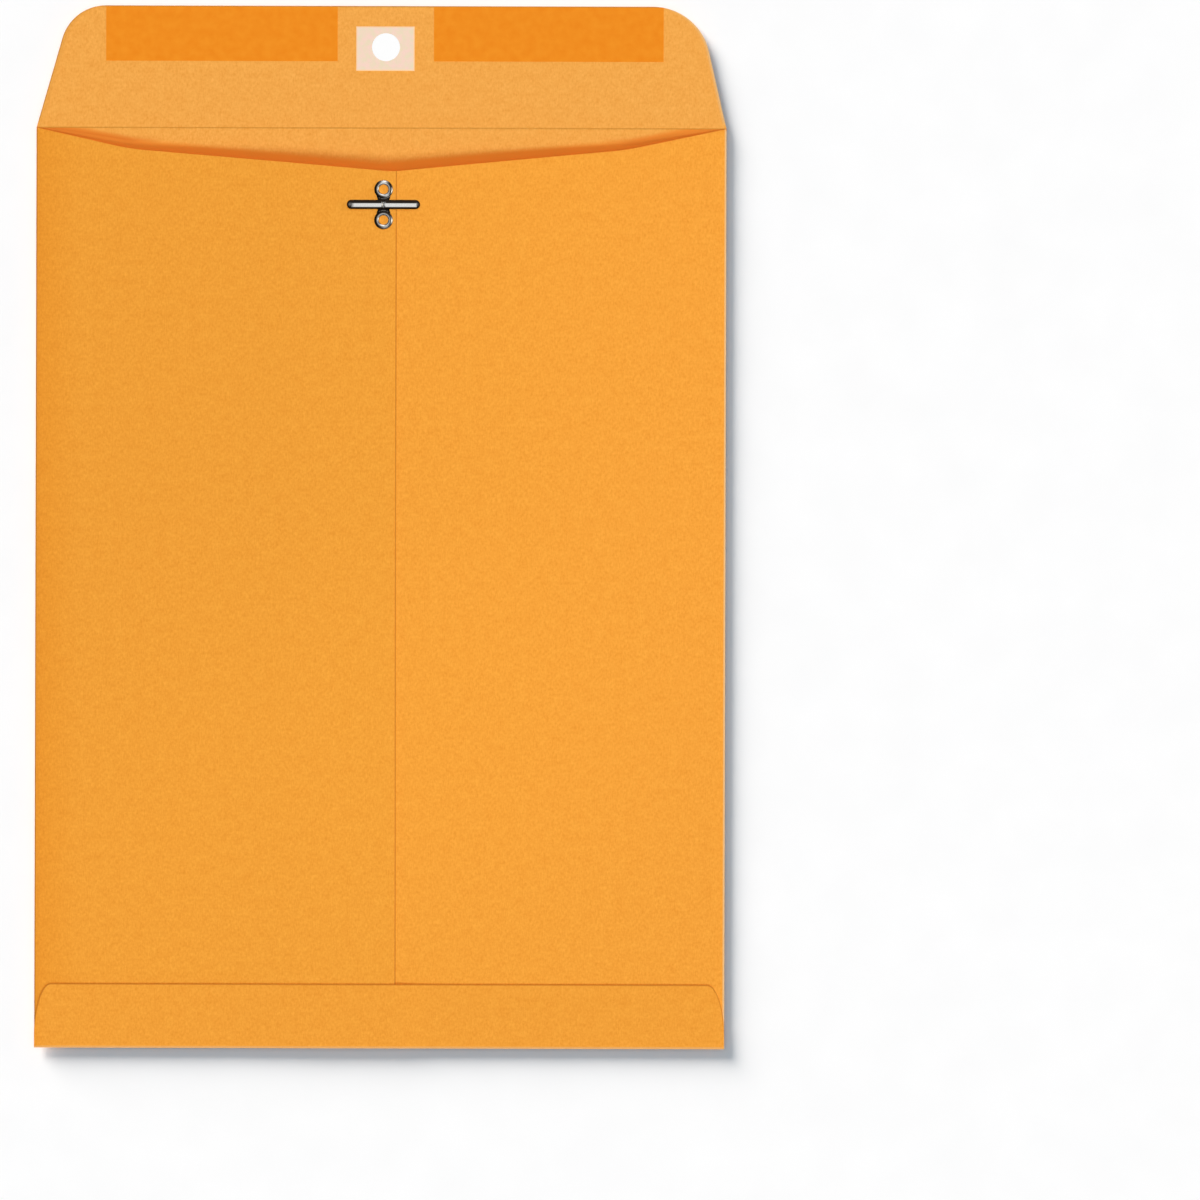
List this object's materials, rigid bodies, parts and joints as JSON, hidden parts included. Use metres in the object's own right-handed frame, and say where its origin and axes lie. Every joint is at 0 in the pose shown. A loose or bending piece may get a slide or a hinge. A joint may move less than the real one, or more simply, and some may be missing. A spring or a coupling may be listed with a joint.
{
  "type": "clasp envelope",
  "caption": "Kraft paper document envelope with a gummed seal flap, a punched hole and a bendable metal clasp that holds the flap shut.",
  "frame": {"origin": "on the surface that the envelope lies on, under the middle of its open length (body and open flap)", "axes": "+Z out of the back of the envelope (the side with the seam and the clasp), +Y from the bottom edge to the open seal flap, +X to the right as the back is looked at with the flap at the top"},
  "size_m": [0.2286, 0.3452, 0.0073],
  "materials": {
    "kraft_paper": "matte, finely mottled golden kraft",
    "adhesive": "dried clear glue",
    "dried_gum": "smooth, slightly glossy dried gum on kraft",
    "patch": "pale translucent reinforcing paper",
    "tinned_steel": "bright tin plate"
  },
  "bodies": {
    "pocket": {"front_panel": "kraft_paper", "left_back_panel": "kraft_paper", "right_back_panel": "kraft_paper", "bottom_flap": "kraft_paper", "seam_adhesive": "adhesive", "bottom_flap_adhesive": "adhesive", "clasp_base": "tinned_steel"},
    "seal_flap_body": {"seal_flap": "kraft_paper", "left_gum_strip": "dried_gum", "right_gum_strip": "dried_gum", "hole_reinforcement_patch": "patch"},
    "left_prong": {"left_clasp_prong": "tinned_steel"},
    "right_prong": {"right_clasp_prong": "tinned_steel"}
  },
  "joints": [
    {"name": "seal_flap_crease", "type": "hinge", "parent": "pocket", "child": "seal_flap_body", "pos_m": [0, 0.13215, 0.00045], "axis": [1, 0, 0], "range_deg": [0, 159]},
    {"name": "left_prong_bend", "type": "hinge", "parent": "pocket", "child": "left_prong", "pos_m": [0.0003, 0.10635, 0.00677], "axis": [0, 1, 0], "range_deg": [0, 90]},
    {"name": "right_prong_bend", "type": "hinge", "parent": "pocket", "child": "right_prong", "pos_m": [0.0017, 0.10635, 0.00677], "axis": [0, -1, 0], "range_deg": [0, 90]}
  ]
}
